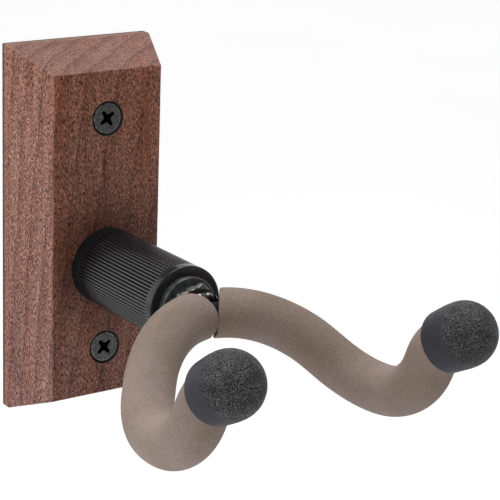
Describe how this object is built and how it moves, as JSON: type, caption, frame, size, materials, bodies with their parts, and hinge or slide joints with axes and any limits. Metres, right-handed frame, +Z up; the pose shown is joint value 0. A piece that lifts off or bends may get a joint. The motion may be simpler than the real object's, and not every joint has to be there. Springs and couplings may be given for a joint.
{
  "type": "wall guitar hanger",
  "caption": "Wall hanger for a guitar: bevelled walnut block, ribbed black collar and a swivelling padded yoke that cradles the neck under the headstock.",
  "frame": {"origin": "middle of the block's back face, in the plane of the wall, halfway between the two wall screws", "axes": "+X to the right for somebody facing the wall, +Z up, -Y out of the wall towards the yoke's tips, +Y into the wall"},
  "size_m": [0.083, 0.1604, 0.1016],
  "materials": {
    "walnut": "oiled satin, open grain",
    "black_screw": "black oxide, satin",
    "collar_black": "moulded, satin",
    "nylon": "satin",
    "dark_steel": "black oxide, satin",
    "gloss_black": "gloss enamel",
    "foam": "matt closed-cell foam with a smooth skin",
    "cap_rubber": "pebbled, matt",
    "zinc": "zinc plated",
    "insert_nylon": "smooth"
  },
  "bodies": {
    "wall_base": {"base_block": "walnut", "upper_wall_screw": "black_screw", "lower_wall_screw": "black_screw", "swivel_collar": "collar_black", "front_bushing": "nylon", "rear_bushing": "nylon"},
    "yoke": {"hub_washer": "dark_steel", "swivel_bolt": "gloss_black", "upper_weld_bead": "gloss_black", "lower_weld_bead": "gloss_black", "yoke_rod": "gloss_black", "left_foam_sleeve": "foam", "right_foam_sleeve": "foam", "left_end_cap": "cap_rubber", "right_end_cap": "cap_rubber", "thrust_washer": "zinc", "spring_washer": "zinc", "nut_washer": "zinc", "lock_nut": "zinc", "lock_nut_insert": "insert_nylon"}
  },
  "joints": [
    {"name": "yoke_swivel", "type": "hinge", "parent": "wall_base", "child": "yoke", "pos_m": [0, -0.0571, -0.0085], "axis": [0, -1, 0], "continuous": true}
  ]
}
